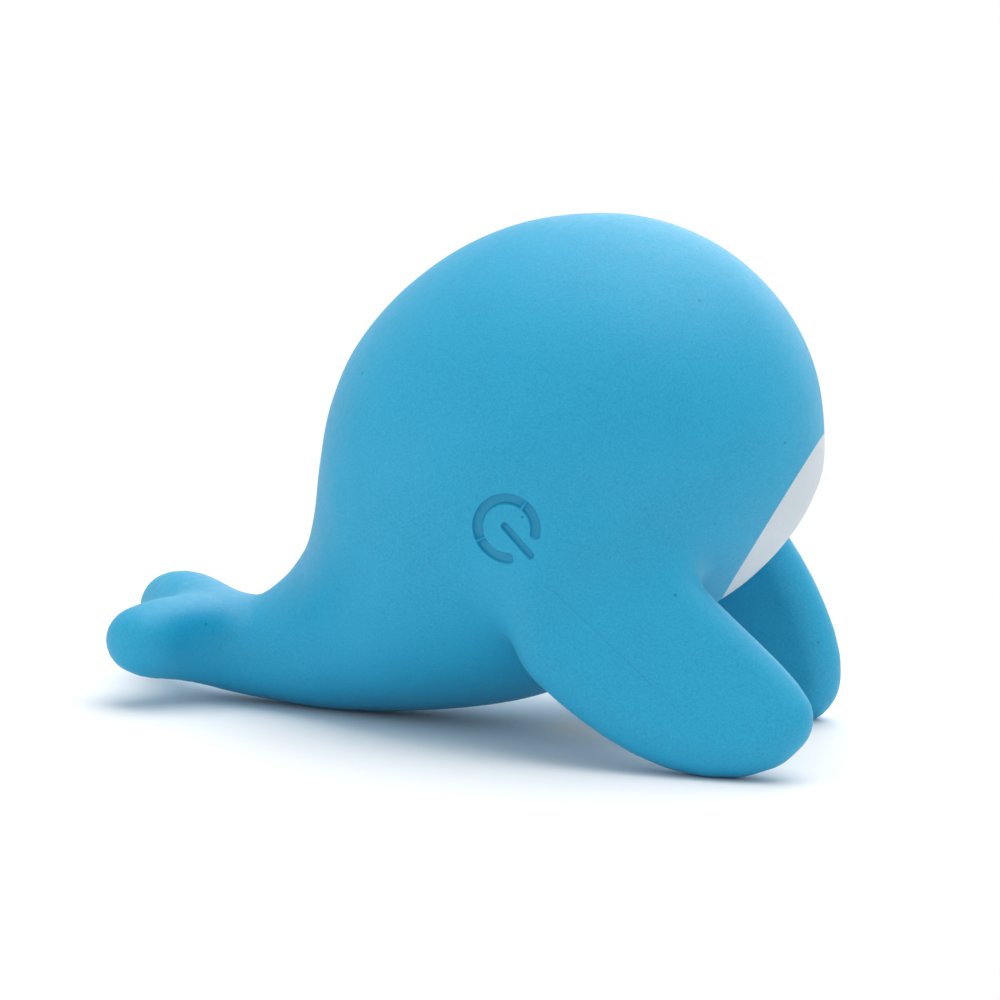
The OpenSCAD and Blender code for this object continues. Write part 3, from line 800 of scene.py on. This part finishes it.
def silicone_blue():
    s = Shader("silicone_blue")
    grain = s.noise(GRAIN, 3, 0.7)
    groove = s.node("ShaderNodeAttribute", attribute_name="groove").outputs["Fac"]
    marks = mould_marks(s)
    base = grained(s, s.clouds(BLUE_CLOUDS, BLUE_SHADES), grain, BLUE_GRAIN)
    # Painted shade in the symbol's grooves, darker where they are deeper
    base = s.tint(base, groove, BLUE_GROOVE_SHADE)
    base = s.tint(base, marks, BLUE_MARK)
    base = s.tint(base, lint_and_fibres(s), BLUE_LINT)
    s.set(Base_Color=base, Roughness=s.spread(s.noise(GLOSS, 3), *BLUE_ROUGH))
    s.set(Specular_IOR_Level=0.5, Sheen_Weight=0.03, Sheen_Roughness=0.45)
    s.set(Normal=s.bump(marks, MARK_HEIGHT, 0.6, s.bump(grain, GRAIN_HEIGHT, 0.5)))
    return s.material


def silicone_white():
    s = Shader("silicone_white")
    x, _, z = s.parts()
    ahead = s.math("ADD", s.math("MULTIPLY", x, float(CHIN_AXIS[0])),
                   s.math("MULTIPLY", z, float(CHIN_AXIS[2])))
    seat = float(CHIN_AXIS @ HEAD + CHIN_SEAT) * MM
    dirt = s.math("MULTIPLY", s.specks(*DIRT), s.between(ahead, seat + DIRT_RIM, seat))
    grain = s.noise(GRAIN, 3, 0.7)
    base = s.tint(s.clouds(WHITE_CLOUDS, WHITE_SHADES), dirt, WHITE_DIRT)
    s.set(Base_Color=grained(s, base, grain, WHITE_GRAIN),
          Roughness=s.spread(s.noise(GLOSS, 3), *WHITE_ROUGH))
    s.set(Sheen_Weight=0.08, Normal=s.bump(grain, GRAIN_HEIGHT, 0.35))
    return s.material


def moulded(name, dark, light, rough, grain=1800.0, depth=0.00002, uneven=0.06):
    """Moulded plastic or foam: a slight cloudiness, a fine grain and uneven gloss."""
    s = Shader(name)
    fine = s.noise(grain, 3, 0.6)
    s.set(Base_Color=s.clouds(PLASTIC_CLOUDS, (dark, light)),
          Roughness=s.spread(fine, rough - uneven, rough + uneven), Normal=s.bump(fine, depth, 0.5))
    return s.material


def metal(name, dark, light, rough, stretch=(1.0, 14.0, 1.0), scale=900.0, depth=0.00001, uneven=0.07):
    """Plated or rolled metal with fine drawn lines."""
    s = Shader(name)
    drawn = s.node("ShaderNodeMapping", {"Vector": s.coords, "Scale": stretch}).outputs[0]
    lines = s.noise(scale, 3, 0.6, drawn)
    s.set(Base_Color=s.mix(s.spread(lines), linear(*dark), linear(*light)), Metallic=1.0,
          Roughness=s.spread(lines, rough - uneven, rough + uneven), Normal=s.bump(lines, depth, 0.4))
    return s.material


def board_green():
    """Solder mask over copper: tracks show as paler, slightly raised lines."""
    s = Shader("board_green")
    black, white = (0, 0, 0, 1), (1, 1, 1, 1)
    sockets = {"Vector": s.coords, "Scale": 260.0, "Mortar Size": 0.035,
               "Color1": black, "Color2": black, "Mortar": white}
    tracks = s.node("ShaderNodeTexBrick", sockets).outputs["Fac"]
    mask = s.mix(s.noise(700), linear(24, 92, 58), linear(32, 108, 70))
    s.set(Base_Color=s.mix(tracks, mask, linear(54, 138, 88)),
          Roughness=s.spread(s.noise(1500), 0.28, 0.4), Normal=s.bump(tracks, 0.00004, 0.6))
    return s.material


def dress(mesh, material):
    """One material for a whole mesh."""
    mesh.materials.clear()
    mesh.materials.append(material)
    mesh.polygons.foreach_set("material_index", np.zeros(len(mesh.polygons), int))


def dress_nodes():
    """Materials of the CAD nodes that stay."""
    shell = moulded("shell_plastic", (206, 208, 203), (219, 221, 216), 0.42)
    black = moulded("black_plastic", (34, 35, 37), (46, 47, 50), 0.5, 2600)
    steel = metal("steel", (158, 162, 165), (182, 185, 188), 0.32)
    brass = metal("brass", (184, 146, 66), (208, 172, 92), 0.3)
    foam = moulded("foam", (72, 74, 77), (92, 94, 97), 0.9, 3200, 0.00008)
    wear = {
        "button_plunger": shell, "capsule_right": shell, "capsule_left": shell, "charge_port": shell,
        "switch_stem": black, "sound_chip": black, "board_components": black, "battery_lead_minus": black,
        "sounder_leads": black, "charge_leads": black,
        "switch_body": steel, "switch_legs": steel, "board_screws": steel, "capsule_screws": steel,
        "charge_magnets": steel, "sounder_plate": brass, "charge_pins": brass,
        "battery_tape": foam, "sounder_gasket": foam,
        "circuit_board": board_green(),
        "status_led": moulded("led_resin", (232, 232, 222), (244, 244, 238), 0.18),
        "battery_cell": metal("cell_foil", (168, 171, 174), (196, 198, 201), 0.36, (6.0, 1.0, 1.0), 400.0),
        "battery_lead_plus": moulded("red_cover", (168, 44, 40), (186, 54, 48), 0.45),
        "sounder_ceramic": moulded("ceramic", (216, 211, 197), (228, 224, 212), 0.3),
    }
    for name, material in wear.items():
        dress(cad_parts[name].data, material)


# Camera: the photo's view of the toy, as angles in degrees, a distance in metres, and where the head's middle
# is in a picture of this many pixels; the sensor is in millimetres
VIEW_TURN = 7.0
VIEW_RISE = 8.0
VIEW_ROLL = -4.0
VIEW_AWAY = 0.9
VIEW_CLIP = (0.05, 20.0)
PIXELS_PER_MM = 7.4
HEAD_PIXEL = (603.0, 435.0)
IMAGE = 1000.0
SENSOR = 36.0

# Studio, in metres apart from the floor's own size: light of the surround, a pale floor just under the toy
# that fades to white between two distances from its middle, and soft lamps as (place, aim, size, power)
WHITE = (1, 1, 1, 1)
WORLD_TINT = (0.97, 0.985, 1.0, 1)
WORLD_LIGHT = 0.64
FLOOR_PALE = (0.93, 0.93, 0.93, 1)
FLOOR_HALF = 3000.0
FLOOR_DROP = 0.05
FLOOR_FADE = (0.05, 0.16)
LAMPS = {
    "overhead": ((0.1, 0.1, 0.75), (0.0, 0.0, 0.04), 0.9, 5.0),
    "back": ((0.1, 0.6, 0.35), (0.0, 0.0, 0.05), 0.5, 1.2),
    "left": ((-0.75, -0.45, 0.05), (0.0, 0.0, 0.03), 0.5, 1.4),
}


def add_camera():
    a, e, q = map(math.radians, (VIEW_TURN, VIEW_RISE, VIEW_ROLL))
    back = Vector((math.sin(a) * math.cos(e), -math.cos(a) * math.cos(e), math.sin(e)))
    right = Vector((math.cos(a), math.sin(a), 0))
    up = back.cross(right)
    right, up = right * math.cos(q) - up * math.sin(q), right * math.sin(q) + up * math.cos(q)
    scale = MM / PIXELS_PER_MM
    target = (Vector(HEAD) * MM - right * ((HEAD_PIXEL[0] - IMAGE / 2) * scale)
              - up * ((IMAGE / 2 - HEAD_PIXEL[1]) * scale))
    data = bpy.data.cameras.new("camera")
    data.sensor_width = SENSOR
    data.lens = SENSOR * VIEW_AWAY / MM * PIXELS_PER_MM / IMAGE
    data.clip_start, data.clip_end = VIEW_CLIP
    camera = bpy.data.objects.new("camera", data)
    turn = Matrix((right, up, back)).transposed().to_4x4()
    camera.matrix_world = Matrix.Translation(target + back * VIEW_AWAY) @ turn
    bpy.context.scene.collection.objects.link(camera)
    bpy.context.scene.camera = camera


def seen_directly(tree):
    """1 for rays that show the background itself: from the camera, in gloss or through glass."""
    path = tree.nodes.new("ShaderNodeLightPath")
    total = None
    for name in ("Is Camera Ray", "Is Glossy Ray", "Is Transmission Ray"):
        if total is None:
            total = path.outputs[name]
            continue
        more = tree.nodes.new("ShaderNodeMath")
        more.operation = "MAXIMUM"
        tree.links.new(total, more.inputs[0])
        tree.links.new(path.outputs[name], more.inputs[1])
        total = more.outputs[0]
    return total


def show_mix(tree, share, first, second, kind):
    """Sends a mix of two shaders to an output of this kind."""
    choose = tree.nodes.new("ShaderNodeMixShader")
    for value, socket in zip((share, first.outputs[0], second.outputs[0]), choose.inputs):
        tree.links.new(value, socket)
    out = tree.nodes.new(kind)
    tree.links.new(choose.outputs[0], out.inputs["Surface"])


def add_world():
    world = bpy.data.worlds.new("studio")
    bpy.context.scene.world = world
    world.use_nodes = True
    tree = world.node_tree
    tree.nodes.clear()
    light = tree.nodes.new("ShaderNodeBackground")
    light.inputs["Color"].default_value = WORLD_TINT
    light.inputs["Strength"].default_value = WORLD_LIGHT
    white = tree.nodes.new("ShaderNodeBackground")
    white.inputs["Color"].default_value = WHITE
    white.inputs["Strength"].default_value = 1.0
    show_mix(tree, seen_directly(tree), light, white, "ShaderNodeOutputWorld")


def add_floor():
    """Pale floor that keeps the toy's shadow near it and turns to plain white further out."""
    corners = ((-1, -1), (1, -1), (1, 1), (-1, 1))
    points = [(x * FLOOR_HALF, y * FLOOR_HALF, -FLOOR_DROP) for x, y in corners]
    floor = new_object("floor", points, [(0, 1, 2, 3)])
    material = bpy.data.materials.new("floor")
    material.use_nodes = True
    tree = material.node_tree
    tree.nodes.clear()
    matt = tree.nodes.new("ShaderNodeBsdfDiffuse")
    matt.inputs["Color"].default_value = FLOOR_PALE
    white = tree.nodes.new("ShaderNodeEmission")
    white.inputs["Strength"].default_value = 1.0
    coords = tree.nodes.new("ShaderNodeTexCoord")
    away = tree.nodes.new("ShaderNodeVectorMath")
    away.operation = "LENGTH"
    tree.links.new(coords.outputs["Object"], away.inputs[0])
    fade = tree.nodes.new("ShaderNodeMapRange")
    fade.interpolation_type = "SMOOTHSTEP"
    fade.inputs["From Min"].default_value, fade.inputs["From Max"].default_value = FLOOR_FADE
    tree.links.new(away.outputs["Value"], fade.inputs["Value"])
    share = tree.nodes.new("ShaderNodeMath")
    share.operation = "MULTIPLY"
    tree.links.new(fade.outputs["Result"], share.inputs[0])
    tree.links.new(seen_directly(tree), share.inputs[1])
    show_mix(tree, share.outputs[0], matt, white, "ShaderNodeOutputMaterial")
    floor.data.materials.append(material)


def add_lamp(name, place, aim, size, power):
    data = bpy.data.lights.new(name, "AREA")
    data.shape = "SQUARE"
    data.size = size
    data.energy = power
    lamp = bpy.data.objects.new(name, data)
    lamp.location = place
    lamp.rotation_euler = (Vector(aim) - Vector(place)).to_track_quat("-Z", "Y").to_euler()
    bpy.context.scene.collection.objects.link(lamp)


def main():
    add_camera()
    chin, skin = build_skin()
    blue, white = silicone_blue(), silicone_white()
    for obj in skin:
        dress(obj.data, blue)
    dress(chin.data, white)
    dress_nodes()
    add_world()
    add_floor()
    for name, lamp in LAMPS.items():
        add_lamp(name, *lamp)
    bpy.context.scene.view_settings.view_transform = "Standard"


main()
